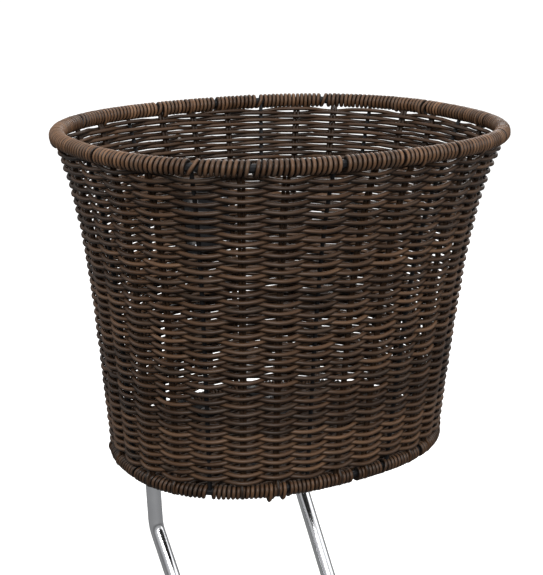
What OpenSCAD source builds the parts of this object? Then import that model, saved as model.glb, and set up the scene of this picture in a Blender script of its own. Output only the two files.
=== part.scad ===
// Woven bicycle basket on a steel wire frame, with a headset bracket behind it and a
// chromed support stay that runs down to the front axle. Millimetres, +Z up, -Y forward.

/* [Basket outline] */
// Half of the basket's width at the top rim, to the rim wire's centreline
top_half_width = 176; // [165:1:190]
// Depth of the top rim in front of the basket's middle
top_front = 149; // [135:1:155]
// Depth of the top rim behind the basket's middle
top_back = 146; // [135:1:150]
// Half of the basket's width at the base rim
base_half_width = 137; // [128:1:150]
// Depth of the base rim in front of the basket's middle
base_front = 99; // [92:1:108]
// Depth of the base rim behind the basket's middle
base_back = 115; // [110:1:122]
// Squareness of the top outline, where 2 is an ellipse
top_squareness = 2.35; // [2:0.05:2.8]
// Squareness of the base outline
base_squareness = 2.3; // [2:0.05:2.8]
// Height from the base rim's centreline to the top rim's centreline
wall_height = 260; // [240:1:280]
// Share of the flare that is a straight slope, the rest curls out near the top
straight_flare = 0.58; // [0.4:0.02:0.8]
// How late the curl starts, a higher power curls nearer to the top
curl_power = 5; // [3:0.1:6]

/* [Rims] */
// Diameter of the top rim wire
top_wire_d = 6; // [5:0.5:7]
// Diameter of the wrapped top rim
top_wrap_d = 13.6; // [12:0.2:15]
// Diameter of the base rim wire
base_wire_d = 5; // [3.5:0.5:5]
// Diameter of the wrapped base rim
base_wrap_d = 12; // [10.6:0.2:12]

/* [Wall] */
// Thickness of the wall over both sides of the weave
weave_thickness = 9; // [8:0.5:10]
// Diameter of a steel upright
upright_d = 3.5; // [3:0.5:4]
// Diameter of one strand of a double stake
stake_d = 3.2; // [2.8:0.2:3.6]

/* [Base] */
// Thickness of the woven base
base_thickness = 7; // [6:0.5:8]
// Diameter of the steel wires in the base
grid_wire_d = 3.5; // [3:0.5:4]
// Distance between the base wires that run front to back
grid_pitch = 44; // [40:1:46]

/* [Headset bracket] */
// Distance from the basket's middle back to the centre of the steerer hole
steerer_back = 210; // [200:1:220]
// Height of the steerer hole's centre above the base rim's centreline
steerer_up = 168; // [160:1:172]
// Lean of the steerer, back from vertical
steerer_lean = 20; // [18:0.5:21]
// Diameter of the steerer hole
steerer_hole_d = 28.8; // [25.8:0.2:29]
// Width of the bracket strip
bracket_width = 44; // [40:1:45]
// Outer diameter of the ring round the steerer hole
ring_d = 48; // [46:1:54]
// Thickness of the bracket strip
bracket_thickness = 3; // [2.5:0.5:3.5]
// Length of the flat that lies on the back wall
bracket_flat = 62; // [56:1:66]

/* [Support stay] */
// Diameter of the stay's rod
rod_d = 13; // [12:0.5:13.5]
// Distance between the two legs under the basket, centre to centre
leg_spacing = 158; // [150:1:162]
// Distance between the two legs at the axle, centre to centre
axle_spacing = 132; // [124:1:140]
// Distance of the stay's cross-bar behind the basket's middle
stay_back = 85; // [80:1:88]
// Drop from the base rim's centreline to the front axle
axle_drop = 385; // [370:1:400]
// Distance of the axle in front of the basket's middle
axle_front = 45; // [38:1:52]
// Centreline radius of the rod's bends
bend_radius = 22; // [18:1:24]
// Diameter of the axle holes
axle_hole_d = 10.2; // [9.2:0.2:10.6]
// Radial clearance of the cross-bar in its saddles
running_clearance = 0.06; // [0.02:0.01:0.1]

/* [Fasteners] */
// Diameter of a screw's thread
screw_d = 5; // [4:1:5]
// Diameter of the holes that the screws pass
screw_hole_d = 5.5; // [5.3:0.1:5.8]

/* [Hidden] */

$fn = 48;
gap = 0.3;

// Stakes stand at equal steps round the rim, number 0 at the middle of the back
stake_count = 31;
steps_per_stake = 2;
ring_count = stake_count * steps_per_stake;
outline_samples = 360;
round_sides = 8;
stake_levels = 12;

// An outline is [half width, front depth, back depth, squareness]
top_outline = [top_half_width, top_front, top_back, top_squareness];
base_outline = [base_half_width, base_front, base_back, base_squareness];

function signed_power(v, p) = sign(v) * pow(abs(v), p);
function outline_point(o, t) =
    [o[0] * signed_power(cos(t), 2 / o[3]),
     (sin(t) < 0 ? o[1] : o[2]) * signed_power(sin(t), 2 / o[3])];
function dense_outline(o) =
    [for (i = [0 : outline_samples]) outline_point(o, 90 + 360 * i / outline_samples)];
function run_lengths(p) =
    [for (i = 0, s = 0; i < len(p); s = s + (i + 1 < len(p) ? norm(p[i + 1] - p[i]) : 0),
        i = i + 1) s];
function even_ring(o, count) =
    let (p = dense_outline(o), s = run_lengths(p), whole = s[len(s) - 1],
         xs = [for (i = [0 : len(p) - 1]) [s[i] / whole, p[i][0]]],
         ys = [for (i = [0 : len(p) - 1]) [s[i] / whole, p[i][1]]])
    [for (j = [0 : count - 1]) [lookup(j / count, xs), lookup(j / count, ys)]];

top_ring = even_ring(top_outline, ring_count);
base_ring = even_ring(base_outline, ring_count);

// The wall between the rims: u is 0 at the base rim and 1 at the top rim
function flare(u) = straight_flare * u + (1 - straight_flare) * pow(u, curl_power);
function flare_slope(u) =
    straight_flare + (1 - straight_flare) * curl_power * pow(u, curl_power - 1);
function wall_xy(j, u) =
    base_ring[j % ring_count] * (1 - flare(u)) + top_ring[j % ring_count] * flare(u);
function ring_normal(ring, j) =
    let (d = ring[(j + 1) % ring_count] - ring[(j + ring_count - 1) % ring_count])
    [d[1], -d[0]] / norm(d);
function wall_normal(j) = ring_normal(top_ring, j % ring_count);
function back_wall_y(z) =
    let (g = flare(z / wall_height)) base_back * (1 - g) + top_back * g;
function back_wall_lean(z) =
    atan((top_back - base_back) * flare_slope(z / wall_height) / wall_height);

// Every third stake is a steel upright, the others are double rattan strands
upright_numbers = [for (k = [0 : stake_count - 1]) if (k % 3 == 2) k];
rattan_numbers = [for (k = [0 : stake_count - 1]) if (k % 3 != 2) k];

// Bands of the wall weave, as shares of the wall's height
top_wrap_share = (top_wrap_d / 2 + gap) / wall_height;
base_wrap_share = (base_wrap_d / 2 + gap) / wall_height;
band_edges = [base_wrap_share, 0.36, 0.68, 1 - top_wrap_share];
band_levels = 4;

// Base
base_top = base_thickness / 2;
base_inset = base_wrap_d / 2 + gap;
grid_long_y = [-42, 42];

// Bracket
bracket_screw_x = 14.5;
bracket_screw_z = [142, 180];
bracket_bend_inner = 3;
ring_thickness = bracket_thickness + 1;
bracket_mid_z = (bracket_screw_z[0] + bracket_screw_z[1]) / 2;
bracket_lean = back_wall_lean(bracket_mid_z);
backing_plate_t = 2;

// The wall curves both ways, so flat metal against it stands a little clear of the weave
bulge = 1.2;
wall_outside = weave_thickness / 2 + bulge;

// Stay
rod_z = -base_top - gap - rod_d / 2;
leg_x = leg_spacing / 2;
axle_x = axle_spacing / 2;
eye_r = 11;
eye_thickness = 4;
eye_gap = axle_hole_d / 2 + rod_d / 2 + 1;
tongue = eye_gap + rod_d;
tongue_width = rod_d + 4;

// Each leg leans forward by leg_tilt, turns by knee_turn over the mudguard, and turns back
// to its first lean to run straight to the axle. On the way down the legs draw together.
rod_sides = 24;
corner_steps = 8;
knee_steps = 5;
leg_tilt = 2;
knee_turn = 34;
first_drop = 86;
axle_reach = stay_back + axle_front;
axle_fall = axle_drop + rod_z;
leg_length = axle_fall * cos(leg_tilt) + axle_reach * sin(leg_tilt);
axle_shift = axle_reach * cos(leg_tilt) - axle_fall * sin(leg_tilt);
knee_cut = bend_radius * tan(knee_turn / 2);
first_run = first_drop / cos(leg_tilt) - bend_radius - knee_cut;
second_run = axle_shift / sin(knee_turn) - 2 * knee_cut;

// Saddles
saddle_x = 32;
saddle_width = 15;
saddle_t = 2;
saddle_screw_y = 15.5;
flange_end = 23;
saddle_plate_t = 1.5;

// Fasteners
head_d = 9;
head_h = 3;
washer_d = 10;
washer_t = 1;
nut_af = 8;
nut_h = 4;

// Moves a part from the basket's own frame to the frame of the steerer hole
module place() {
    translate([0, -steerer_back, -steerer_up]) children();
}

// A closed round bar that follows a level ring
module ring_bar(ring, z, r) {
    points = [for (j = [0 : ring_count - 1], s = [0 : round_sides - 1])
        let (n = ring_normal(ring, j), a = 360 * (s + 0.5) / round_sides,
             k = r / cos(180 / round_sides))
        [ring[j][0] + n[0] * k * cos(a), ring[j][1] + n[1] * k * cos(a), z + k * sin(a)]];
    faces = [for (j = [0 : ring_count - 1], s = [0 : round_sides - 1])
        let (j2 = (j + 1) % ring_count, s2 = (s + 1) % round_sides)
        [j * round_sides + s, j2 * round_sides + s, j2 * round_sides + s2,
         j * round_sides + s2]];
    polyhedron(points, faces, convexity = 6);
}

// A bar that climbs the wall at ring place j, half_w wide along the rim, half_t thick
module wall_bar(j, half_w, half_t, sides) {
    rows = stake_levels + 1;
    n = wall_normal(j);
    along = [-n[1], n[0]];
    points = [for (i = [0 : stake_levels], s = [0 : sides - 1])
        let (u = i / stake_levels, c = wall_xy(j, u), a = 360 * (s + 0.5) / sides,
             q = c + n * half_t * cos(a) + along * half_w * sin(a))
        [q[0], q[1], u * wall_height]];
    faces = concat(
        [[for (s = [0 : sides - 1]) s]],
        [[for (s = [0 : sides - 1]) (rows - 1) * sides + sides - 1 - s]],
        [for (i = [0 : stake_levels - 1], s = [0 : sides - 1])
            let (s2 = (s + 1) % sides)
            [i * sides + s, (i + 1) * sides + s, (i + 1) * sides + s2, i * sides + s2]]);
    polyhedron(points, faces, convexity = 4);
}

// A closed shell round the basket between two heights, the plain shape of a weave band
module weave_band(low, high) {
    loop = 2 * (band_levels + 1);
    function section(i) = i <= band_levels ? [i, 1] : [loop - 1 - i, -1];
    points = [for (j = [0 : ring_count - 1], i = [0 : loop - 1])
        let (e = section(i), u = low + (high - low) * e[0] / band_levels,
             c = wall_xy(j, u) + wall_normal(j) * e[1] * weave_thickness / 2)
        [c[0], c[1], u * wall_height]];
    faces = [for (j = [0 : ring_count - 1], i = [0 : loop - 1])
        let (j2 = (j + 1) % ring_count, i2 = (i + 1) % loop)
        [j * loop + i, j2 * loop + i, j2 * loop + i2, j * loop + i2]];
    polyhedron(points, faces, convexity = 6);
}

module top_rim_wire() {
    color("black") place() ring_bar(top_ring, wall_height, top_wire_d / 2);
}

module top_rim_wrap() {
    color("saddlebrown") place() ring_bar(top_ring, wall_height, top_wrap_d / 2);
}

module base_rim_wire() {
    color("black") place() ring_bar(base_ring, 0, base_wire_d / 2);
}

module base_rim_wrap() {
    color("saddlebrown") place() ring_bar(base_ring, 0, base_wrap_d / 2);
}

module frame_uprights() {
    color("black") place()
        for (k = upright_numbers)
            wall_bar(k * steps_per_stake, upright_d / 2, upright_d / 2, 6);
}

module rattan_stakes() {
    color("sienna") place()
        for (k = rattan_numbers)
            wall_bar(k * steps_per_stake, stake_d, stake_d / 2, 6);
}

module wall_weave_lower() {
    color("saddlebrown") place()
        weave_band(band_edges[0], band_edges[1] - gap / wall_height);
}

module wall_weave_middle() {
    color("sienna") place()
        weave_band(band_edges[1], band_edges[2] - gap / wall_height);
}

module wall_weave_upper() {
    color("saddlebrown") place() weave_band(band_edges[2], band_edges[3]);
}

// Half the width of the base outline at depth y, and its depths at width x
function base_half_at(y) =
    base_half_width * pow(1 - pow(abs(y) / (y < 0 ? base_front : base_back),
        base_squareness), 1 / base_squareness);
function base_depth_at(x, depth) =
    depth * pow(1 - pow(abs(x) / base_half_width, base_squareness), 1 / base_squareness);

module base_grid_wires() {
    color("black") place() {
        for (i = [-2 : 2]) {
            x = i * grid_pitch;
            front = base_depth_at(x, base_front);
            back = base_depth_at(x, base_back);
            translate([x, -front, 0]) rotate([-90, 0, 0])
                cylinder(h = front + back, d = grid_wire_d);
        }
        for (y = grid_long_y)
            translate([-base_half_at(y), y, 0]) rotate([0, 90, 0])
                cylinder(h = 2 * base_half_at(y), d = grid_wire_d);
    }
}

module base_weave() {
    outline = [for (j = [0 : ring_count - 1])
        base_ring[j] - ring_normal(base_ring, j) * base_inset];
    color("saddlebrown") place()
        difference() {
            translate([0, 0, -base_top])
                linear_extrude(base_thickness) polygon(outline);
            saddle_screw_places()
                translate([0, 0, -base_thickness]) cylinder(h = 2 * base_thickness,
                    d = screw_hole_d);
        }
}

// Puts its children at the wall's outer face behind the basket, +Z along the wall
// upwards and +Y straight out of it
module on_back_wall() {
    translate([0, back_wall_y(bracket_mid_z), bracket_mid_z])
        rotate([-bracket_lean, 0, 0]) children();
}

module bracket_screw_places() {
    on_back_wall()
        for (x = [-bracket_screw_x, bracket_screw_x], z = bracket_screw_z)
            translate([x, 0, z - bracket_mid_z]) rotate([-90, 0, 0]) children();
}

module bracket_screw_holes() {
    place() bracket_screw_places()
        cylinder(h = 4 * wall_outside, d = screw_hole_d, center = true);
}

// Side view of the bent strip, in the plane of the bracket's flat: x is out of the
// wall and y is up along it
bend_outer = bracket_bend_inner + bracket_thickness;

// The steerer hole's centre in the wall's own frame
hole_out = (steerer_back - back_wall_y(bracket_mid_z)) * cos(bracket_lean)
    - (steerer_up - bracket_mid_z) * sin(bracket_lean);
hole_up = (steerer_back - back_wall_y(bracket_mid_z)) * sin(bracket_lean)
    + (steerer_up - bracket_mid_z) * cos(bracket_lean);
arm_slope = steerer_lean - bracket_lean;
bend_out = wall_outside + bend_outer;

// Height of the bend's centre, so that the arm leaves it straight towards the hole
bend_up = hole_up + (hole_out - bend_out) * tan(arm_slope)
    - (bracket_bend_inner + bracket_thickness / 2) / cos(arm_slope);
arm_length = (hole_out - bend_out) / cos(arm_slope)
    - (bracket_bend_inner + bracket_thickness / 2) * tan(arm_slope);

function bend_point(r, angle) = [bend_out + r * cos(angle), bend_up + r * sin(angle)];
function arm_end(r) = bend_point(r, 90 - arm_slope)
    + arm_length * [cos(arm_slope), -sin(arm_slope)];

bend_steps = 8;
bend_angles = [for (i = [0 : bend_steps]) 180 - (90 + arm_slope) * i / bend_steps];

module bracket_side() {
    polygon(concat(
        [[wall_outside, bend_up - bracket_flat]],
        [for (a = bend_angles) bend_point(bend_outer, a)],
        [arm_end(bend_outer), arm_end(bracket_bend_inner)],
        [for (i = [bend_steps : -1 : 0]) bend_point(bracket_bend_inner, bend_angles[i])],
        [[wall_outside + bracket_thickness, bend_up - bracket_flat]]));
}

module headset_bracket() {
    color("dimgray")
        difference() {
            union() {
                place() on_back_wall() rotate([90, 0, 90])
                    linear_extrude(bracket_width, center = true) bracket_side();
                rotate([-steerer_lean, 0, 0])
                    cylinder(h = ring_thickness, d = ring_d, center = true);
            }
            rotate([-steerer_lean, 0, 0])
                cylinder(h = 10 * bracket_thickness, d = steerer_hole_d, center = true);
            bracket_screw_holes();
        }
}

module bracket_backing_plate() {
    plate = [bracket_width, backing_plate_t, bracket_flat - 8];
    color("dimgray")
        difference() {
            place() on_back_wall()
                translate([0, -wall_outside - backing_plate_t / 2, 0]) cube(plate, center = true);
            bracket_screw_holes();
        }
}

// A pan-head screw, its head's underside at the origin and its shank along +Z
module pan_screw(shank) {
    cylinder(h = shank, d = screw_d);
    difference() {
        translate([0, 0, -head_h]) cylinder(h = head_h, d = head_d);
        translate([0, 0, -head_h - 1]) cylinder(h = 2.8, d = 3.4, $fn = 6);
    }
}

module washer() {
    difference() {
        cylinder(h = washer_t, d = washer_d);
        translate([0, 0, -1]) cylinder(h = washer_t + 2, d = screw_hole_d);
    }
}

module nut() {
    difference() {
        cylinder(h = nut_h, d = nut_af / cos(30), $fn = 6);
        translate([0, 0, -1]) cylinder(h = nut_h + 2, d = screw_d + 0.1);
    }
}

bracket_head_out = -wall_outside - backing_plate_t;
bracket_outside = wall_outside + bracket_thickness;

module bracket_screws() {
    color("silver") place() bracket_screw_places()
        translate([0, 0, bracket_head_out])
            pan_screw(bracket_outside - bracket_head_out + washer_t + nut_h + 2);
}

module bracket_washers() {
    color("silver") place() bracket_screw_places()
        translate([0, 0, bracket_outside]) washer();
}

module bracket_nuts() {
    color("silver") place() bracket_screw_places()
        translate([0, 0, bracket_outside + washer_t]) nut();
}

// The stay is worked out in a frame that leans with its legs: X along the cross-bar, Y
// back and Z up along the legs. A station is [centre, normal, normal] of the rod.
function corner_station(angle) =
    [[leg_x - bend_radius * (1 - sin(angle)), 0, -bend_radius * (1 - cos(angle))],
     [0, 1, 0], [sin(angle), 0, cos(angle)]];
function leg_x_at(z) =
    leg_x + (axle_x - leg_x) * max(0, -z - bend_radius) / (leg_length - bend_radius);
function leg_station(y, z, turn) =
    [[leg_x_at(z), y, z], [0, cos(turn), -sin(turn)], [1, 0, 0]];
knee_angles = [for (i = [0 : knee_steps]) knee_turn * i / knee_steps];
knee_1_z = -bend_radius - first_run;
knee_2_y = -bend_radius * (1 - cos(knee_turn)) - second_run * sin(knee_turn);
knee_2_z = knee_1_z - bend_radius * sin(knee_turn) - second_run * cos(knee_turn);
half_stations = concat(
    [for (i = [0 : corner_steps]) corner_station(90 * i / corner_steps)],
    [for (t = knee_angles) leg_station(-bend_radius * (1 - cos(t)),
        knee_1_z - bend_radius * sin(t), t)],
    [for (t = knee_angles) leg_station(knee_2_y - bend_radius * (cos(knee_turn - t)
        - cos(knee_turn)), knee_2_z - bend_radius * (sin(knee_turn) - sin(knee_turn - t)),
        knee_turn - t)],
    [leg_station(-axle_shift, eye_gap - leg_length, 0)]);
function mirrored(v) = [-v[0], v[1], v[2]];
stay_stations = concat(
    [for (i = [len(half_stations) - 1 : -1 : 0]) half_stations[i]],
    [for (st = half_stations) [mirrored(st[0]), mirrored(st[1]), mirrored(st[2])]]);

module in_stay_frame() {
    place() translate([0, stay_back, rod_z]) rotate([-leg_tilt, 0, 0]) children();
}

module support_stay() {
    last = len(stay_stations) - 1;
    points = [for (st = stay_stations, k = [0 : rod_sides - 1])
        let (a = 360 * k / rod_sides)
        st[0] + (st[1] * cos(a) + st[2] * sin(a)) * rod_d / 2];
    faces = concat(
        [[for (k = [0 : rod_sides - 1]) k]],
        [[for (k = [0 : rod_sides - 1]) last * rod_sides + rod_sides - 1 - k]],
        [for (i = [0 : last - 1], k = [0 : rod_sides - 1])
            let (k2 = (k + 1) % rod_sides)
            [i * rod_sides + k, (i + 1) * rod_sides + k, (i + 1) * rod_sides + k2,
             i * rod_sides + k2]]);
    color("gainsboro") in_stay_frame() polyhedron(points, faces, convexity = 8);
}

// A round eye for the axle, on a tongue that is welded to the end of a leg
module axle_eye(side) {
    color("gainsboro") in_stay_frame()
        translate([side * axle_x, -axle_shift, -leg_length])
            difference() {
                union() {
                    rotate([0, 90, 0]) cylinder(h = eye_thickness, r = eye_r, center = true);
                    translate([-eye_thickness / 2, -tongue_width / 2, 0])
                        cube([eye_thickness, tongue_width, tongue]);
                }
                rotate([0, 90, 0])
                    cylinder(h = 2 * eye_thickness, d = axle_hole_d, center = true);
            }
}

module stay_eye_left() { axle_eye(1); }
module stay_eye_right() { axle_eye(-1); }

module saddle_screw_places() {
    for (x = [-saddle_x, saddle_x], y = [-saddle_screw_y, saddle_screw_y])
        translate([x, stay_back + y, 0]) children();
}

// Side view of a saddle: a strap that cups the cross-bar, with a flange each side
module saddle_side() {
    inner = rod_d / 2 + running_clearance;
    outer = inner + saddle_t;
    under = -base_top;
    difference() {
        union() {
            translate([0, rod_z]) circle(outer, $fn = 96);
            translate([-outer, rod_z]) square([2 * outer, under - rod_z]);
            translate([-flange_end, under - saddle_t]) square([2 * flange_end, saddle_t]);
        }
        translate([0, rod_z]) circle(inner, $fn = 96);
        translate([-inner, rod_z]) square([2 * inner, under - rod_z + 1]);
        translate([-outer, under]) square([2 * outer, 2 * outer]);
    }
}

module saddle(side) {
    color("dimgray") place()
        difference() {
            translate([side * saddle_x, stay_back, 0]) rotate([90, 0, 90])
                linear_extrude(saddle_width, center = true) saddle_side();
            saddle_screw_places()
                translate([0, 0, -4 * base_top]) cylinder(h = 4 * base_top, d = screw_hole_d);
        }
}

module stay_saddle_left() { saddle(1); }
module stay_saddle_right() { saddle(-1); }

module saddle_plate(side) {
    color("dimgray") place()
        difference() {
            translate([side * saddle_x, stay_back, base_top + saddle_plate_t / 2])
                cube([saddle_width, 2 * (saddle_screw_y + 7), saddle_plate_t], center = true);
            saddle_screw_places() cylinder(h = 4 * base_top, d = screw_hole_d);
        }
}

module saddle_plate_left() { saddle_plate(1); }
module saddle_plate_right() { saddle_plate(-1); }

saddle_head_z = base_top + saddle_plate_t;
saddle_flange_z = -base_top - saddle_t;

module saddle_screws() {
    color("silver") place() saddle_screw_places()
        translate([0, 0, saddle_head_z]) rotate([180, 0, 0])
            pan_screw(saddle_head_z - saddle_flange_z + washer_t + nut_h + 1.5);
}

module saddle_washers() {
    color("silver") place() saddle_screw_places()
        translate([0, 0, saddle_flange_z - washer_t]) washer();
}

module saddle_nuts() {
    color("silver") place() saddle_screw_places()
        translate([0, 0, saddle_flange_z - washer_t - nut_h]) nut();
}

top_rim_wire();
top_rim_wrap();
base_rim_wire();
base_rim_wrap();
frame_uprights();
rattan_stakes();
wall_weave_lower();
wall_weave_middle();
wall_weave_upper();
base_grid_wires();
base_weave();
headset_bracket();
bracket_backing_plate();
bracket_screws();
bracket_washers();
bracket_nuts();
support_stay();
stay_eye_left();
stay_eye_right();
stay_saddle_left();
stay_saddle_right();
saddle_plate_left();
saddle_plate_right();
saddle_screws();
saddle_washers();
saddle_nuts();
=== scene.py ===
"""Looks of a woven bicycle basket on a wire frame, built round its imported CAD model.

The wall is strands that run on round 31 stakes, over one and under the next. The rims are
steel wires, each wound with one strand. Lengths are in metres in the part's own frame.
"""
import math

import bpy
import numpy as np
from mathutils import Matrix, Vector


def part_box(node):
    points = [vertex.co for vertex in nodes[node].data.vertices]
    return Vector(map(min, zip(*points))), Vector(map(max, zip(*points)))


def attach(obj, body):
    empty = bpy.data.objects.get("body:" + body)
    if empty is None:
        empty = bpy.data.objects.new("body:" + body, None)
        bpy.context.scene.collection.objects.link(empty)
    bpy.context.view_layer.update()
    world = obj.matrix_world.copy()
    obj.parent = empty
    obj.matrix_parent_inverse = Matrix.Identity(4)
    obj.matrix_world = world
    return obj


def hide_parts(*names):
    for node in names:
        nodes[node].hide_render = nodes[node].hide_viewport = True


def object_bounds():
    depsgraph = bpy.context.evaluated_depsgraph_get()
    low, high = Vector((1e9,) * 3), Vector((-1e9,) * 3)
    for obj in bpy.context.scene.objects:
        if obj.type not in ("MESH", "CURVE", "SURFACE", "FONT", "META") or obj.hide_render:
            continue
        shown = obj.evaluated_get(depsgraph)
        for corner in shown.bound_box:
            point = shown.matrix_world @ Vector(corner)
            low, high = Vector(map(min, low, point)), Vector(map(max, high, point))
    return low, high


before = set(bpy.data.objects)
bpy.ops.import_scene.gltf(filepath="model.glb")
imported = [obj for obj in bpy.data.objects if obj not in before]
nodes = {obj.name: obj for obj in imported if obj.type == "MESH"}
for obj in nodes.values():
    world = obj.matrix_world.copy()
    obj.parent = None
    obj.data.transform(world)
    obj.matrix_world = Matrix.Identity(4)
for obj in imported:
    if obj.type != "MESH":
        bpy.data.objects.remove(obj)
cad_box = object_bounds()

MM = 0.001
TURN = 2 * math.pi


# ---------------------------------------------------------------- basket shape

MIDDLE_Y = -0.210  # where both outlines are widest
STAKES = 31
UPRIGHT_STEP = 3  # every third stake is a steel upright of the CAD model
UPRIGHT_FIRST = 2
STRAIGHT_FLARE = 0.58  # the share of the flare that grows evenly with the height
CURL_POWER = 5  # the rest grows with this power of the height, so the wall curls out at its top
FLARE_LIMIT = 1.05  # as a share of the wall's height, where the flare ends
TOP_SQUARENESS = 2.35
BASE_SQUARENESS = 2.3
OUTLINE_SAMPLES = 4000


class Outline:
    """A squared ellipse, walked at even speed from the middle of the back towards -X."""

    def __init__(self, half, front, back, squareness):
        self.half, self.front, self.back = half, front, back
        t = np.radians(90 + 360 * np.arange(OUTLINE_SAMPLES + 1) / OUTLINE_SAMPLES)
        power = 2 / squareness
        depth = np.where(np.sin(t) < 0, front, back)
        self.x = half * np.sign(np.cos(t)) * np.abs(np.cos(t)) ** power
        self.y = depth * np.sign(np.sin(t)) * np.abs(np.sin(t)) ** power
        run = np.concatenate([[0], np.cumsum(np.hypot(np.diff(self.x), np.diff(self.y)))])
        self.length = run[-1]
        self.share = run / self.length

    def at(self, stake):
        share = (np.asarray(stake, float) / STAKES) % 1
        return np.stack([np.interp(share, self.share, self.x), np.interp(share, self.share, self.y)], -1)

    def normal(self, stake):
        step = 0.02
        d = self.at(np.asarray(stake) + step) - self.at(np.asarray(stake) - step)
        n = np.stack([d[..., 1], -d[..., 0]], -1)
        return n / np.linalg.norm(n, axis=-1, keepdims=True)


def read_rim(node, squareness):
    """Height, wire radius and outline of a rim wire, from its box."""
    low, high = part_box(node)
    wire_r = (high.z - low.z) / 2
    half = (high.x - low.x) / 2 - wire_r
    front = MIDDLE_Y - (low.y + wire_r)
    back = high.y - wire_r - MIDDLE_Y
    return (low.z + high.z) / 2, wire_r, Outline(half, front, back, squareness)


TOP_Z, TOP_WIRE_R, TOP = read_rim("top_rim_wire", TOP_SQUARENESS)
BASE_Z, BASE_WIRE_R, BASE = read_rim("base_rim_wire", BASE_SQUARENESS)
WALL_HEIGHT = TOP_Z - BASE_Z


def flare(height):
    """Share of the way from the base outline to the top outline, at a height over the base rim."""
    u = np.clip(np.asarray(height, float) / WALL_HEIGHT, 0, FLARE_LIMIT)
    return STRAIGHT_FLARE * u + (1 - STRAIGHT_FLARE) * u ** CURL_POWER


def wall(stake, height, out=0.0):
    """Points on the wall's middle surface, at stake numbers and heights over the base rim."""
    stake, height, out = np.broadcast_arrays(np.asarray(stake, float), height, out)
    g = flare(height)[..., None]
    xy = BASE.at(stake) * (1 - g) + TOP.at(stake) * g + TOP.normal(stake) * out[..., None]
    return np.stack([xy[..., 0], MIDDLE_Y + xy[..., 1], BASE_Z + height], -1)


def is_upright(stake):
    return stake % UPRIGHT_STEP == UPRIGHT_FIRST


# ---------------------------------------------------------------- strands

STRAND_R = 1.7 * MM  # the wall's strand
STAKE_R = 1.45 * MM
TOP_STRAND_R = 1.72 * MM
BASE_STRAND_R = 1.65 * MM
TOP_COIL_R = TOP_WIRE_R + TOP_STRAND_R
BASE_COIL_R = BASE_WIRE_R + BASE_STRAND_R
END_NARROWING = 0.72  # of a strand's radius, at its two ends
FIBRE_GAP = 0.13  # metres of material texture left out between two strands


def unit(v):
    return v / np.maximum(np.linalg.norm(v, axis=-1, keepdims=True), 1e-12)


def smoothstep(v):
    return v * v * (3 - 2 * v)


def smooth_noise(rng, at, size):
    """Smooth random values of about -1 to 1 along at, that change over about size."""
    at = np.asarray(at, float) / size
    knots = rng.uniform(-1, 1, int(at.max() - at.min()) + 4)
    k = at - at.min()
    i = k.astype(int)
    f = smoothstep(k - i)
    return knots[i] * (1 - f) + knots[i + 1] * f


def all_upwards(path):
    """The upward direction, once for each point of a path."""
    return np.broadcast_to([0.0, 0.0, 1.0], path.shape)


class Strands:
    """Collects round strands for one mesh. Each point keeps its place on the straightened
    strand in the attribute fibre, and the strand's shade in tone, for the material."""

    def __init__(self, sides):
        self.sides = sides
        self.count = 0
        self.points, self.fibre, self.tone, self.quads, self.caps = [], [], [], [], []
        self.laid = 0.0

    def add(self, path, reference, radius, tone):
        """A strand along path. reference holds a direction for each point, across the strand."""
        n, m = len(path), self.sides
        tangent = unit(np.gradient(path, axis=0))
        side = unit(np.cross(tangent, reference))
        up = np.cross(side, tangent)
        r = np.full(n, float(radius))
        r[[0, -1]] *= END_NARROWING
        a = TURN * np.arange(m) / m
        ring = side[:, None] * np.cos(a)[None, :, None] + up[:, None] * np.sin(a)[None, :, None]
        self.points.append((path[:, None] + ring * r[:, None, None]).reshape(-1, 3))
        steps = np.linalg.norm(np.diff(path, axis=0), axis=1)
        along = self.laid + np.concatenate([[0], np.cumsum(steps)])
        self.laid = along[-1] + FIBRE_GAP
        sideways = np.tile(np.cos(a), n) * np.repeat(r, m)
        upwards = np.tile(np.sin(a), n) * np.repeat(r, m)
        self.fibre.append(np.stack([np.repeat(along, m), sideways, upwards], -1))
        self.tone.append(np.repeat(np.broadcast_to(tone, n), m))
        i = np.arange(n - 1)[:, None] * m
        j = np.arange(m)[None]
        k = (j + 1) % m
        quads = np.stack([i + j, i + k, i + m + k, i + m + j], -1).reshape(-1, 4)
        self.quads.append(quads + self.count)
        self.caps.append(self.count + np.arange(m)[::-1])
        self.caps.append(self.count + (n - 1) * m + np.arange(m))
        self.count += n * m

    def build(self, name, material, body, slot, replaced=()):
        """The collected strands as one piece that rides on body."""
        mesh = bpy.data.meshes.new(name)
        quads = np.concatenate(self.quads)
        caps = np.array(self.caps)
        corners = np.concatenate([quads.ravel(), caps.ravel()])
        cap_starts = quads.size + np.arange(len(caps)) * self.sides
        starts = np.concatenate([np.arange(len(quads)) * 4, cap_starts])
        mesh.vertices.add(self.count)
        mesh.vertices.foreach_set("co", np.concatenate(self.points).astype(np.float32).ravel())
        mesh.loops.add(len(corners))
        mesh.loops.foreach_set("vertex_index", corners.astype(np.int32))
        mesh.polygons.add(len(starts))
        mesh.polygons.foreach_set("loop_start", starts.astype(np.int32))
        mesh.update(calc_edges=True)
        mesh.polygons.foreach_set("use_smooth", np.ones(len(mesh.polygons), bool))
        fibre = mesh.attributes.new("fibre", "FLOAT_VECTOR", "POINT")
        fibre.data.foreach_set("vector", np.concatenate(self.fibre).astype(np.float32).ravel())
        tone = mesh.attributes.new("tone", "FLOAT", "POINT")
        tone.data.foreach_set("value", np.concatenate(self.tone).astype(np.float32))
        mesh.validate()
        mesh.materials.append(material)
        piece = bpy.data.objects.new(name, mesh)
        bpy.context.scene.collection.objects.link(piece)
        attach(piece, body)
        if replaced:
            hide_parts(*replaced)


# ---------------------------------------------------------------- materials

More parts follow.
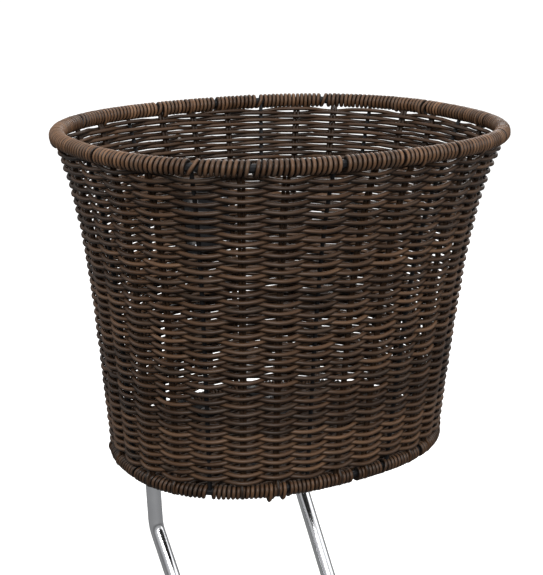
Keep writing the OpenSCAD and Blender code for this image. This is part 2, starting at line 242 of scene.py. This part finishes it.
class Nodes:
    """Short calls for building a material's nodes."""

    def __init__(self, name):
        self.material = bpy.data.materials.new(name)
        self.material.use_nodes = True
        self.tree = self.material.node_tree
        self.shader = self.tree.nodes["Principled BSDF"]

    def link(self, value, socket):
        if isinstance(value, bpy.types.NodeSocket):
            self.tree.links.new(value, socket)
        else:
            socket.default_value = value

    def attribute(self, name, output):
        node = self.tree.nodes.new("ShaderNodeAttribute")
        node.attribute_name = name
        return node.outputs[output]

    def place(self):
        return self.tree.nodes.new("ShaderNodeTexCoord").outputs["Object"]

    def scaled(self, vector, scale):
        node = self.tree.nodes.new("ShaderNodeMapping")
        self.link(vector, node.inputs["Vector"])
        node.inputs["Scale"].default_value = scale
        return node.outputs["Vector"]

    def noise(self, vector, scale=1.0, detail=2.0, roughness=0.5):
        node = self.tree.nodes.new("ShaderNodeTexNoise")
        self.link(vector, node.inputs["Vector"])
        node.inputs["Scale"].default_value = scale
        node.inputs["Detail"].default_value = detail
        node.inputs["Roughness"].default_value = roughness
        return node.outputs["Fac"]

    def math(self, operation, a, b):
        node = self.tree.nodes.new("ShaderNodeMath")
        node.operation = operation
        self.link(a, node.inputs[0])
        self.link(b, node.inputs[1])
        return node.outputs[0]

    def ranged(self, value, low, high, to_low, to_high):
        node = self.tree.nodes.new("ShaderNodeMapRange")
        self.link(value, node.inputs["Value"])
        node.inputs["From Min"].default_value = low
        node.inputs["From Max"].default_value = high
        node.inputs["To Min"].default_value = to_low
        node.inputs["To Max"].default_value = to_high
        return node.outputs["Result"]

    def part(self, vector, axis):
        node = self.tree.nodes.new("ShaderNodeSeparateXYZ")
        self.link(vector, node.inputs[0])
        return node.outputs[axis]

    def ramp(self, value, stops):
        node = self.tree.nodes.new("ShaderNodeValToRGB")
        elements = node.color_ramp.elements
        while len(elements) < len(stops):
            elements.new(0.5)
        for element, (position, colour) in zip(elements, stops):
            element.position = position
            element.color = (*colour, 1)
        self.link(value, node.inputs["Fac"])
        return node.outputs["Color"]

    def mix(self, share, a, b):
        node = self.tree.nodes.new("ShaderNodeMix")
        node.data_type = "RGBA"
        self.link(share, node.inputs["Factor"])
        self.link(a if isinstance(a, bpy.types.NodeSocket) else (*a, 1), node.inputs["A"])
        self.link(b if isinstance(b, bpy.types.NodeSocket) else (*b, 1), node.inputs["B"])
        return node.outputs["Result"]

    def mix_shader(self, share, a, b):
        node = self.tree.nodes.new("ShaderNodeMixShader")
        self.link(share, node.inputs["Fac"])
        self.link(a, node.inputs[1])
        self.link(b, node.inputs[2])
        return node.outputs["Shader"]

    def bump(self, height, distance, strength):
        node = self.tree.nodes.new("ShaderNodeBump")
        self.link(height, node.inputs["Height"])
        node.inputs["Distance"].default_value = distance
        node.inputs["Strength"].default_value = strength
        self.link(node.outputs["Normal"], self.shader.inputs["Normal"])

    def set(self, **values):
        """Sets the shader's sockets by name, and gives the material."""
        for name, value in values.items():
            self.link(value, self.shader.inputs[name.replace("_", " ")])
        return self.material


# Strand shades from dark to light, each with its place on the ramp
RATTAN_SHADES = ((0.0, (0.018, 0.0095, 0.0050)), (0.35, (0.045, 0.0235, 0.0125)),
                 (0.68, (0.086, 0.0455, 0.0240)), (1.0, (0.150, 0.0820, 0.0440)))
RATTAN_GREY = (0.062, 0.045, 0.033)
# Painted shade: the dark colour that strands take underneath and where they meet their neighbours
PAINTED_SHADE_COLOUR = (0.0006, 0.0005, 0.0004)
PAINTED_UNDERSIDE_SHADE = (-1.2 * MM, 0.2 * MM)  # heights on a strand between which it goes from painted shade underneath to full colour
PAINTED_FLANK_SHADE = (0.8 * MM, 1.5 * MM)  # distances to the side between which it goes from full colour to painted shade at its flanks


def rattan_material(name, brightness, painted_shade_under, painted_shade_sides):
    """Dark brown resin strand: streaks along it, patches of warmer and greyer brown, and painted
    shade underneath it and where it meets its neighbours. The last two arguments are the
    shares of its colour that are left under this painted shade, underneath and at both sides."""
    n = Nodes(name)
    fibre = n.attribute("fibre", "Vector")
    tone = n.attribute("tone", "Fac")
    patches = n.noise(n.scaled(fibre, (26, 90, 90)), detail=3)
    streaks = n.noise(n.scaled(fibre, (55, 1500, 1500)), detail=3, roughness=0.6)
    grain = n.noise(n.scaled(fibre, (420, 4200, 4200)), detail=2)
    shade = n.math("ADD", n.math("MULTIPLY", patches, 0.5), n.math("MULTIPLY", streaks, 0.45))
    shade = n.math("ADD", shade, n.math("MULTIPLY", tone, 0.45))
    stops = [(at, tuple(c * brightness for c in colour)) for at, colour in RATTAN_SHADES]
    colour = n.ramp(n.ranged(shade, 0.3, 1.1, 0, 1), stops)
    grey = n.noise(n.scaled(fibre, (9, 30, 30)), detail=2)
    grey_colour = tuple(c * brightness for c in RATTAN_GREY)
    colour = n.mix(n.ranged(grey, 0.48, 0.72, 0, 0.5), colour, grey_colour)
    # Painted shade: the colour darkens towards the shade colour on the strand's underside and at its flanks
    low = n.ranged(n.part(fibre, "Z"), *PAINTED_UNDERSIDE_SHADE, painted_shade_under, 1)
    side = n.ranged(n.math("ABSOLUTE", n.part(fibre, "Y"), 0), *PAINTED_FLANK_SHADE, 1, painted_shade_sides)
    colour = n.mix(n.math("MULTIPLY", low, side), PAINTED_SHADE_COLOUR, colour)
    rough = n.ranged(streaks, 0.3, 0.75, 0.34, 0.52)
    n.bump(n.math("ADD", streaks, n.math("MULTIPLY", grain, 0.4)), 0.12 * MM, 0.55)
    return n.set(Base_Color=colour, Roughness=rough, Specular_IOR_Level=0.22)


def powder_coat_material():
    """Black powder coat with its fine orange-peel surface."""
    n = Nodes("black_powder_coat")
    place = n.place()
    peel = n.noise(place, 1400, detail=2)
    patches = n.noise(place, 60, detail=3)
    colour = n.ramp(patches, [(0.3, (0.005, 0.005, 0.006)), (0.75, (0.012, 0.012, 0.013))])
    n.bump(peel, 0.06 * MM, 0.5)
    return n.set(Base_Color=colour, Roughness=n.ranged(patches, 0.3, 0.7, 0.46, 0.6),
                 Specular_IOR_Level=0.22)


def chrome_material():
    """Bright chrome with faint smudges and hairline marks."""
    n = Nodes("bright_chrome")
    place = n.place()
    smudges = n.noise(place, 45, detail=4)
    hairlines = n.noise(n.scaled(place, (3500, 3500, 120)), detail=2)
    colour = n.ramp(smudges, [(0.3, (0.74, 0.75, 0.78)), (0.7, (0.86, 0.87, 0.89))])
    n.bump(hairlines, 0.01 * MM, 0.2)
    return n.set(Base_Color=colour, Metallic=1.0, Roughness=n.ranged(smudges, 0.3, 0.75, 0.07, 0.19))


def zinc_material():
    """Zinc-plated steel of the screws, washers and nuts."""
    n = Nodes("bright_zinc")
    place = n.place()
    cloud = n.noise(place, 260, detail=4)
    fine = n.noise(place, 2600, detail=2)
    colour = n.ramp(cloud, [(0.3, (0.50, 0.51, 0.54)), (0.7, (0.68, 0.68, 0.66))])
    n.bump(fine, 0.03 * MM, 0.4)
    return n.set(Base_Color=colour, Metallic=1.0, Roughness=n.ranged(cloud, 0.3, 0.7, 0.26, 0.42))


# Copies of one rattan whose brightness paints light and shade: lighter on the top rim winding, darker on the
# base rim winding and darkest on the stakes. The last two numbers are the shares of colour left under
# painted shade, underneath and at the sides.
wall_rattan = rattan_material("wall_rattan", 0.86, 0.12, 1.0)
rim_rattan = rattan_material("rim_rattan", 1.5, 1.0, 0.1)
base_rim_rattan = rattan_material("base_rim_rattan", 0.95, 1.0, 0.1)
stake_rattan = rattan_material("stake_rattan", 0.5, 1.0, 1.0)
powder_coat = powder_coat_material()
chrome = chrome_material()
zinc = zinc_material()

FINISHES = {
    powder_coat: ["top_rim_wire", "base_rim_wire", "frame_uprights", "base_grid_wires",
                  "headset_bracket", "bracket_backing_plate", "stay_saddle_left",
                  "stay_saddle_right", "saddle_plate_left", "saddle_plate_right"],
    chrome: ["support_stay", "stay_eye_left", "stay_eye_right"],
    zinc: ["bracket_screws", "bracket_washers", "bracket_nuts", "saddle_screws",
           "saddle_washers", "saddle_nuts"],
}
SMOOTH_ANGLE = math.radians(38)  # sharper edges stay sharp
WELD_DISTANCE = 0.01 * MM


def dress_cad_node(node, material):
    """Gives a CAD node its material and smooth round faces."""
    piece = nodes[node]
    mesh = piece.data
    mesh.materials.clear()
    mesh.materials.append(material)
    if "custom_normal" in mesh.attributes:
        mesh.attributes.remove(mesh.attributes["custom_normal"])
    mesh.polygons.foreach_set("use_smooth", np.ones(len(mesh.polygons), bool))
    weld = piece.modifiers.new("join_faces", "WELD")
    weld.merge_threshold = WELD_DISTANCE
    split = piece.modifiers.new("keep_edges", "EDGE_SPLIT")
    split.split_angle = SMOOTH_ANGLE


for material, names in FINISHES.items():
    for name in names:
        dress_cad_node(name, material)


# ---------------------------------------------------------------- wall weave

SWING = 3.3 * MM  # how far the strand's centreline swings out and in at a stake
SWING_SPREAD = 0.05
SWING_POWER = 0.85  # under 1, the strand lies flatter against the stakes
SAG = 1.2 * MM  # how far the strand hangs down where it passes outside a stake
TOP_SAG = 0.9 * MM  # how much further it hangs in the last rows
TOP_SAG_ROWS = 1.3
INSIDE_RISE = 0.35  # share of its sag that it rises by where it passes inside a stake
SAG_OFFSET = 0.05  # bays that the lowest point lies past the stake
ROWS = 76
STEPS_PER_BAY = 10
LOWEST = BASE_COIL_R + BASE_STRAND_R + 4.2 * MM
HIGHEST = WALL_HEIGHT - TOP_COIL_R - TOP_STRAND_R - 0.6 * MM
PACKING = 0.03  # the lower rows lie this much closer together than the mean, the upper rows wider
CLOSEST = 0.92 * 2 * STRAND_R
SPREADING_ROUNDS = 25  # times that rows closer than that are pushed apart
CLIMB_BAYS = 5  # each row is level, and climbs to the next over these last bays, at the back
DRIFT = 0.5 * MM
DRIFT_WAVES = ((2, 37), (3, 23), (5, 51))  # waves in a turn, and rows in a wave
ROW_JITTER = 0.28 * MM
STAKE_JITTER = 0.16 * MM
BAY_SHIFT = 0.045  # spread of the stakes' sideways shifts, in bays
BAND_ROWS = (0, 26, 52, ROWS)
BANDS = ("lower", "middle", "upper")

CUTS = 30  # places where one strand ends and the next begins
CUT_MARGIN = 40  # bays without a cut at the weave's start and end
LEAD_IN, LEAD_OUT = 0.55, 0.45  # bays that the strands run on past a cut
RISE_BAYS, FALL_BAYS = 1.1, 0.9  # bays over which they come out of the wall and go into it
START_DROP, START_DEPTH = 2.9 * MM, 1.2 * MM
END_LIFT, END_DEPTH = 0.8 * MM, 3.6 * MM
TONE_BAYS = 4.5  # bays over which a strand's shade changes


def crossing_heights(rng):
    """Heights of the strand where it crosses the wall, one row a turn and one column a bay."""
    row = np.arange(ROWS + 1)[:, None]
    bay = np.arange(STAKES)[None]
    climb = np.clip((bay - STAKES + CLIMB_BAYS) / CLIMB_BAYS, 0, 1)
    share = np.minimum((row + climb) / (ROWS - 1), 1)
    height = LOWEST + (HIGHEST - LOWEST) * share * (1 - PACKING * (1 - share))
    drift = sum(DRIFT * np.sin(TURN * (bay * f / STAKES + row / w) + rng.uniform(0, TURN))
                for f, w in DRIFT_WAVES)
    jitter = rng.normal(0, ROW_JITTER, height.shape)
    height = height + drift * np.sin(math.pi * row / ROWS) + jitter
    for _ in range(SPREADING_ROUNDS):
        close = np.maximum(0, CLOSEST - np.diff(height, axis=0)) / 2
        height[:-1] -= close
        height[1:] += close
    return np.minimum(height, HIGHEST).ravel()


def come_out(s, height, out):
    """A strand that begins at a cut comes up out of the wall from below."""
    rise = np.clip((s - s[0]) / RISE_BAYS, 0, 1)
    height = height - START_DROP * (1 - rise) ** 1.5
    return height, out * rise - START_DEPTH * (1 - rise)


def go_in(s, height, out):
    """A strand that ends at a cut is tucked in behind the wall."""
    fall = np.clip((s[-1] - s) / FALL_BAYS, 0, 1)
    return height + END_LIFT * (1 - fall), out * fall - END_DEPTH * (1 - fall)


def weave_wall():
    """The wall is one course that goes round and up, over one stake and under the next. s
    counts its bays. It is cut into strands, and into the CAD model's three bands."""
    rng = np.random.default_rng(31)
    heights = crossing_heights(rng)
    crossings = np.arange(len(heights)) + 0.5
    shift = np.tile(rng.normal(0, BAY_SHIFT, STAKES), ROWS + 1)
    stake_height = rng.normal(0, STAKE_JITTER, len(heights) + 1)
    swing = SWING * rng.normal(1, SWING_SPREAD, len(heights) + 1)
    tone_rng = np.random.default_rng(5)
    cuts = rng.choice(np.arange(CUT_MARGIN, ROWS * STAKES - CUT_MARGIN), CUTS, replace=False)

    def course(s):
        """Height over the base rim and distance out of the wall."""
        moved = s - np.interp(s, crossings, shift) * np.sin(math.pi * s) ** 2
        near = np.clip(np.round(s).astype(int), 0, len(stake_height) - 1)
        bump = np.cos(math.pi * moved)
        sag = SAG + TOP_SAG * np.exp(-((ROWS - s / STAKES) / TOP_SAG_ROWS) ** 2)
        sag = sag * np.where(near % 2 == 0, 1.0, -INSIDE_RISE)
        height = np.interp(s, crossings, heights)
        height = height - sag * np.abs(np.cos(math.pi * (s - SAG_OFFSET)))
        height = height + stake_height[near] * bump ** 2
        return height, swing[near] * np.sign(bump) * np.abs(bump) ** SWING_POWER

    for band, first, last in zip(BANDS, BAND_ROWS, BAND_ROWS[1:]):
        strands = Strands(10)
        low, high = first * STAKES, last * STAKES
        ends = [low, *sorted(c for c in cuts.tolist() if low < c < high), high]
        for start, end in zip(ends, ends[1:]):
            lead_in = LEAD_IN if start > low else 0.0
            lead_out = LEAD_OUT if end < high else 0.0
            steps = int((end + lead_out - start + lead_in) * STEPS_PER_BAY)
            s = np.linspace(start - lead_in, end + lead_out, steps + 1)
            height, out = course(s)
            if lead_in:
                height, out = come_out(s, height, out)
            if lead_out:
                height, out = go_in(s, height, out)
            path = wall(s, height, out)
            tone = 0.5 + tone_rng.uniform(-0.35, 0.35) + 0.45 * smooth_noise(tone_rng, s, TONE_BAYS)
            strands.add(path, all_upwards(path), STRAND_R, tone)
        strands.build(f"woven_wall_{band}", wall_rattan, "basket", "rattan_weave", [f"wall_weave_{band}"])


# ---------------------------------------------------------------- stakes

STAKE_APART = 1.55 * MM  # from the middle of a stake to each of its two strands
STAKE_LEVELS = 40
STAKE_OVERRUN = 1 * MM  # how far the stakes go on past both rim wires
STAKE_JITTER_ACROSS = 0.5 * MM
STAKE_WAVE, WAVE_HEIGHT = 0.25 * MM, 50 * MM
FOOT_R = BASE_COIL_R + BASE_STRAND_R + STAKE_R * 0.4
FOOT_JITTER = 0.2 * MM
FOOT_TUCK = 3.2 * MM  # how much closer to the rim wire a foot ends
FOOT_ARC = (math.radians(64), math.radians(-125))  # round the rim wire, from straight out
FOOT_STEPS = 18
FOOT_LEAD = ((14 * MM, 0.4 * MM), (10.5 * MM, 0.9 * MM))  # heights and distances out, before the arc
FOOT_SLANT = 2 * MM


def arc_step(stake, distance):
    """The stake number a distance further round the wall."""
    return stake + distance * STAKES / TOP.length


def normals(stake, count):
    """The wall's outward direction at a stake, once for each of count points."""
    return np.concatenate([TOP.normal(np.full(count, stake)), np.zeros((count, 1))], -1)


def set_stakes():
    """Two strands side by side at each rattan stake. One of each pair runs on over the base
    rim and tucks under it."""
    rng = np.random.default_rng(7)
    strands = Strands(8)
    feet = Strands(10)
    for stake in range(STAKES):
        if is_upright(stake):
            continue
        nudge = rng.normal(0, STAKE_JITTER_ACROSS)
        lean = rng.normal(0, STAKE_JITTER_ACROSS)
        foot_side = rng.choice((-1, 1))
        for side in (-1, 1):
            height = np.linspace(-STAKE_OVERRUN, WALL_HEIGHT + STAKE_OVERRUN, STAKE_LEVELS)
            across = side * STAKE_APART + nudge + lean * height / WALL_HEIGHT
            across = across + STAKE_WAVE * smooth_noise(rng, height, WAVE_HEIGHT)
            path = wall(arc_step(stake, across), height)
            tone = 0.3 + rng.uniform(-0.25, 0.25)
            strands.add(path, normals(stake, len(path)), STAKE_R, tone)
        a = np.linspace(*FOOT_ARC, FOOT_STEPS)
        r = FOOT_R + FOOT_JITTER * rng.uniform(-1, 1) - np.linspace(0, FOOT_TUCK, len(a))
        lead_heights, lead_outs = zip(*FOOT_LEAD)
        height = np.concatenate([lead_heights, r * np.sin(a)])
        out = np.concatenate([lead_outs, r * np.cos(a)])
        slant = np.linspace(0, rng.uniform(-1, 1) * FOOT_SLANT, len(out))
        across = foot_side * STAKE_APART + nudge + slant
        path = wall(arc_step(stake, across), np.maximum(height, 0), out)
        path[:, 2] = BASE_Z + height
        sideways = normals(stake, len(path))[:, [1, 0, 2]] * (-1, 1, 1)
        feet.add(path, sideways, STAKE_R, 0.45 + rng.uniform(-0.3, 0.3))
    strands.build("wall_stakes", stake_rattan, "basket", "rattan_weave", ["rattan_stakes"])
    feet.build("stake_feet", base_rim_rattan, "basket", "rattan_weave")


# ---------------------------------------------------------------- rim windings

COIL_STEPS = 18
TOP_WIND = 3.8 * MM  # from one turn to the next
BASE_WIND = 3.5 * MM
WIND_SPREAD = 0.035
COIL_LIFT = 0.10 * MM  # spread of how far a turn stands off the wire
LEAN, LEAN_KEPT = 0.16 * MM, 0.6  # how far a turn leans, and the share it takes over from the last
FRONT_CLIMB = (-75, 65)  # degrees of a turn in which it crosses a bare place, outside or inside
BEHIND_CLIMB = (100, 250)
TURN_TONE = 0.34  # spread of the turns' shades
TONE_TURNS = 9  # turns over which the shade drifts

# Bare places on each rim: stake number, width in mm, and whether the strand crosses in front
TOP_BARE = ((0.9, 2.6, False), (3.6, 2.8, False), (5.6, 2.2, True), (8.4, 2.0, False), (11.0, 4.4, True),
            (12.15, 3.2, False), (14.0, 3.4, False), (15.5, 1.6, False), (17.0, 1.8, False),
            (19.2, 2.4, False), (21.6, 2.2, True), (24.2, 3.0, False), (27.2, 3.0, False),
            (28.9, 3.2, False), (30.3, 2.4, True))
BASE_BARE = ((2.0, 3.4, False), (5.0, 2.8, False), (8.1, 2.4, False), (10.9, 4.2, False), (13.2, 2.0, False),
             (15.4, 4.8, False), (16.7, 2.8, True), (18.3, 4.4, False), (20.1, 2.4, False),
             (23.0, 3.2, False), (26.0, 3.0, True), (29.0, 3.2, False))
BASE_LOOSE = {12.75: 4.0 * MM, 13.15: 3.2 * MM}  # loops that hang under the base rim


def crossing(angle, span):
    """How far a turn has crossed a bare place, from 0 to 1, over a span in degrees."""
    first, last = np.radians(span)
    return smoothstep(np.clip((angle - first) / (last - first), 0, 1))


def wind_rim(name, outline, rim_height, coil_r, strand_r, wind, bare, dips, seed, material, replaced):
    """Winds a strand round a rim wire, turn by turn. A turn starts under the wire, climbs its
    outer side and comes back down inside. dips are turns that reach down over the weave."""
    rng = np.random.default_rng(seed)
    metres = outline.length / STAKES
    bare_left = sorted((stake * metres, width * MM, front) for stake, width, front in bare)
    dip_left = sorted((stake * metres, depth) for stake, depth in dips.items())
    angle = np.radians(np.linspace(-90, 270, COIL_STEPS + 1))
    share = (angle - angle[0]) / TURN
    in_front, behind = crossing(angle, FRONT_CLIMB), crossing(angle, BEHIND_CLIMB)
    low = np.maximum(0, -np.sin(angle)) ** 0.8
    turns, tones = [], []
    at, lean = 0.0, 0.0
    while at < outline.length - wind * 0.6:
        jump, front, dip = 0.0, False, 0.0
        if bare_left and at >= bare_left[0][0] - bare_left[0][1] / 2:
            _, jump, front = bare_left.pop(0)
        if dip_left and at >= dip_left[0][0]:
            dip = dip_left.pop(0)[1]
        step = wind * (1 + rng.normal(0, WIND_SPREAD))
        lean = LEAN_KEPT * lean + rng.normal(0, LEAN)
        along = at + step * share + jump * (in_front if front else behind) + lean * np.sin(angle)
        r = coil_r + abs(rng.normal(0, COIL_LIFT))
        turns.append(np.stack([along, r * np.cos(angle), r * np.sin(angle) - dip * low], -1)[:-1])
        tones.append(np.full(COIL_STEPS, rng.uniform(-TURN_TONE, TURN_TONE)))
        at += step + jump
    along, out, up = np.concatenate(turns).T
    turn_of = np.arange(len(along)) / COIL_STEPS
    tone = 0.5 + np.concatenate(tones) + 0.35 * smooth_noise(rng, turn_of, TONE_TURNS)
    for values in (along, out, up):
        values[1:-1] = np.convolve(values, (0.25, 0.5, 0.25), "valid")
    stake = along / metres
    normal = outline.normal(stake)
    level = outline.at(stake) + normal * out[:, None]
    path = np.stack([level[:, 0], MIDDLE_Y + level[:, 1], BASE_Z + rim_height + up], -1)
    reference = np.stack([normal[:, 0] * out, normal[:, 1] * out, up], -1)
    strands = Strands(10)
    strands.add(path, unit(reference), strand_r, tone)
    strands.build(name, material, "basket", "rattan_wrap", [replaced])


def wind_rims():
    rng = np.random.default_rng(11)
    top_dips = {stake + rng.uniform(-0.35, 0.35): rng.uniform(1.6, 3.0) * MM
                for stake in range(STAKES) if not is_upright(stake) and rng.uniform() < 0.5}
    wind_rim("top_rim_winding", TOP, WALL_HEIGHT, TOP_COIL_R, TOP_STRAND_R, TOP_WIND, TOP_BARE,
             top_dips, 3, rim_rattan, "top_rim_wrap")
    wind_rim("base_rim_winding", BASE, 0.0, BASE_COIL_R, BASE_STRAND_R, BASE_WIND, BASE_BARE,
             BASE_LOOSE, 4, base_rim_rattan, "base_rim_wrap")


# ---------------------------------------------------------------- woven base

BASE_PITCH = 3.3 * MM
BASE_BAY = 22 * MM  # from a wire of the CAD model's base to the rattan stake beside it
BASE_STAKES = (-5, -3, -1, 1, 3, 5)  # in those bays from the middle
BASE_SWING = 2.2 * MM
BASE_STRAND = 1.6 * MM
BASE_MARGIN = 7 * MM  # from the rim wire to the first and last strand
BASE_EDGE = 2.5 * MM  # how far the base's strands stop inside the rim wire
BASE_FLAT = 9 * MM  # a strand's swing dies out over its last stretch at the rim
BASE_JITTER = 0.25 * MM
BASE_WAVE = 50 * MM
BASE_TONE_WAVE = 60 * MM
BASE_STAKE_SWAY = 0.3 * MM
STEPS_PER_BASE_BAY = 16
BASE_STAKE_POINTS = 24
BASE_STAKE_APART = BASE_STRAND * 1.05


def base_reach(along, across_limit, reach_limit):
    """How far the base outline reaches at a distance from its middle."""
    share = (np.abs(along) / across_limit) ** BASE_SQUARENESS
    return reach_limit * np.maximum(0, 1 - share) ** (1 / BASE_SQUARENESS)


def weave_base():
    """Strands from side to side, woven over and under stakes that run front to back."""
    rng = np.random.default_rng(13)
    weavers, stakes = Strands(8), Strands(8)
    rows = np.arange(-BASE.front + BASE_MARGIN, BASE.back - BASE_MARGIN, BASE_PITCH)
    for number, y in enumerate(rows):
        reach = base_reach(y, BASE.front if y < 0 else BASE.back, BASE.half) - BASE_EDGE
        x = np.linspace(-reach, reach, max(8, int(reach / (BASE_BAY / STEPS_PER_BASE_BAY))))
        swing = BASE_SWING * np.cos(math.pi * (x / BASE_BAY + number))
        edge = np.clip((reach - np.abs(x)) / BASE_FLAT, 0, 1)
        sway = rng.normal(0, BASE_JITTER) + BASE_JITTER * smooth_noise(rng, x, BASE_WAVE)
        path = np.stack([x, MIDDLE_Y + y + sway, BASE_Z + swing * edge], -1)
        tone = 0.4 + rng.uniform(-0.3, 0.3) + 0.3 * smooth_noise(rng, x, BASE_TONE_WAVE)
        weavers.add(path, all_upwards(path), BASE_STRAND, tone)
    for number in BASE_STAKES:
        for side in (-1, 1):
            middle = number * BASE_BAY + side * BASE_STAKE_APART
            front = base_reach(middle, BASE.half, BASE.front) - BASE_EDGE
            back = base_reach(middle, BASE.half, BASE.back) - BASE_EDGE
            y = np.linspace(-front, back, BASE_STAKE_POINTS)
            x = middle + BASE_STAKE_SWAY * smooth_noise(rng, y, BASE_WAVE)
            path = np.stack([x, MIDDLE_Y + y, np.full(len(y), BASE_Z)], -1)
            stakes.add(path, all_upwards(path), BASE_STRAND, 0.35 + rng.uniform(-0.2, 0.2))
    weavers.build("woven_base", wall_rattan, "basket", "rattan_weave", ["base_weave"])
    stakes.build("base_stakes", stake_rattan, "basket", "rattan_weave")


# ---------------------------------------------------------------- stage

CAMERA_AZIMUTH = math.radians(-32.94)
CAMERA_ELEVATION = math.radians(15.72)
CAMERA_ROLL = math.radians(0.318)
CAMERA_DISTANCE = 1.150
CAMERA_TARGET = Vector((0, MIDDLE_Y, BASE_Z + WALL_HEIGHT / 2))
SENSOR_MM = 36.0
LENS_MM = 93.282
CAMERA_SHIFT = (-0.017956, -0.000755)  # shares of the picture's width


def make_camera():
    a, e, r = CAMERA_AZIMUTH, CAMERA_ELEVATION, CAMERA_ROLL
    back = Vector((math.sin(a) * math.cos(e), -math.cos(a) * math.cos(e), math.sin(e)))
    level = Vector((math.cos(a), math.sin(a), 0))
    upright = back.cross(level)
    right = level * math.cos(r) + upright * math.sin(r)
    up = upright * math.cos(r) - level * math.sin(r)
    data = bpy.data.cameras.new("camera")
    data.sensor_fit = "HORIZONTAL"
    data.sensor_width = SENSOR_MM
    data.lens = LENS_MM
    data.shift_x, data.shift_y = CAMERA_SHIFT
    camera = bpy.data.objects.new("camera", data)
    place = Matrix((right, up, back)).transposed().to_4x4()
    place.translation = CAMERA_TARGET + back * CAMERA_DISTANCE
    camera.matrix_world = place
    bpy.context.scene.collection.objects.link(camera)
    bpy.context.scene.camera = camera


FLOOR_REACH = 40.0
FLOOR_GAP = 1 * MM  # under the lowest point of the CAD model
FLOOR_GLOW = 0.3  # so that the camera sees a white floor
FLOOR_REFLECTED = (0.17, 0.17, 0.17, 1)  # its colour to rays that aren't the camera's


def make_floor():
    """A floor that is white to the camera and dim in reflections, lights nothing from below,
    and is clear from underneath."""
    z = cad_box[0].z - FLOOR_GAP
    corners = [(x * FLOOR_REACH, y * FLOOR_REACH, z) for x, y in ((-1, -1), (1, -1), (1, 1), (-1, 1))]
    mesh = bpy.data.meshes.new("floor")
    mesh.from_pydata(corners, [], [(0, 1, 2, 3)])
    floor = bpy.data.objects.new("floor", mesh)
    bpy.context.scene.collection.objects.link(floor)
    n = Nodes("pale_floor")
    cloud = n.noise(n.place(), 0.8, detail=2)
    colour = n.ramp(cloud, [(0.3, (0.84, 0.84, 0.84)), (0.7, (0.88, 0.88, 0.88))])
    mesh.materials.append(n.set(Base_Color=colour, Roughness=0.9, Emission_Color=(1, 1, 1, 1),
                                Emission_Strength=FLOOR_GLOW))
    reflected = n.tree.nodes.new("ShaderNodeBsdfDiffuse")
    reflected.inputs["Color"].default_value = FLOOR_REFLECTED
    clear = n.tree.nodes.new("ShaderNodeBsdfTransparent")
    from_camera = n.tree.nodes.new("ShaderNodeLightPath").outputs["Is Camera Ray"]
    underneath = n.tree.nodes.new("ShaderNodeNewGeometry").outputs["Backfacing"]
    seen = n.mix_shader(from_camera, reflected.outputs["BSDF"], n.shader.outputs["BSDF"])
    one_sided = n.mix_shader(underneath, seen, clear.outputs["BSDF"])
    n.link(one_sided, n.tree.nodes["Material Output"].inputs["Surface"])
    floor.visible_diffuse = False


SKY_STRENGTH = 1.35
SKY_STOPS = ((0.48, 0.02), (0.52, 0.16), (1.0, 1.0))  # 0.5 is the horizon, 1 is straight up


def make_world():
    """White to the camera. To other rays a sky that is dark below and brightest at the top, so
    that the dark between the strands stays dark."""
    world = bpy.data.worlds.new("studio")
    world.use_nodes = True
    tree = world.node_tree
    links = tree.links
    up = tree.nodes.new("ShaderNodeSeparateXYZ")
    links.new(tree.nodes.new("ShaderNodeTexCoord").outputs["Generated"], up.inputs[0])
    half = tree.nodes.new("ShaderNodeMath")
    half.operation = "MULTIPLY_ADD"
    half.inputs[1].default_value, half.inputs[2].default_value = 0.5, 0.5
    links.new(up.outputs["Z"], half.inputs[0])
    brightness = tree.nodes.new("ShaderNodeValToRGB")
    stops = brightness.color_ramp.elements
    for position, level in SKY_STOPS:
        stops.new(position).color = (level, level, level, 1)
    stops.remove(stops[0])
    stops.remove(stops[-1])
    links.new(half.outputs[0], brightness.inputs["Fac"])
    sky = tree.nodes["Background"]
    sky.inputs["Strength"].default_value = SKY_STRENGTH
    links.new(brightness.outputs["Color"], sky.inputs["Color"])
    plain = tree.nodes.new("ShaderNodeBackground")
    plain.inputs["Color"].default_value = (1, 1, 1, 1)
    choose = tree.nodes.new("ShaderNodeMixShader")
    links.new(tree.nodes.new("ShaderNodeLightPath").outputs["Is Camera Ray"], choose.inputs["Fac"])
    links.new(sky.outputs[0], choose.inputs[1])
    links.new(plain.outputs[0], choose.inputs[2])
    links.new(choose.outputs[0], tree.nodes["World Output"].inputs["Surface"])
    bpy.context.scene.world = world
    bpy.context.scene.view_settings.view_transform = "Standard"


# Name, place, size and power in watts of each lamp
LAMPS = (
    ("key", (-0.7, -1.9, 1.3), (1.2, 1.2), 44),
    ("fill", (1.7, -1.2, 0.7), (1.4, 1.4), 6),
    ("back_left", (1.7, 1.5, 0.9), (1.0, 1.6), 16),
    ("back_right", (-1.9, 1.2, 0.9), (1.0, 1.6), 12),
    ("top", (0.1, 0.1, 1.9), (1.6, 1.6), 5),
)


def make_lamps():
    for name, place, size, power in LAMPS:
        data = bpy.data.lights.new(name, "AREA")
        data.shape = "RECTANGLE"
        data.size, data.size_y = size
        data.energy = power
        lamp = bpy.data.objects.new(name, data)
        lamp.location = place
        lamp.rotation_mode = "QUATERNION"
        lamp.rotation_quaternion = (Vector(place) - CAMERA_TARGET).to_track_quat("Z", "Y")
        bpy.context.scene.collection.objects.link(lamp)


make_camera()
weave_wall()
set_stakes()
wind_rims()
weave_base()
make_floor()
make_world()
make_lamps()
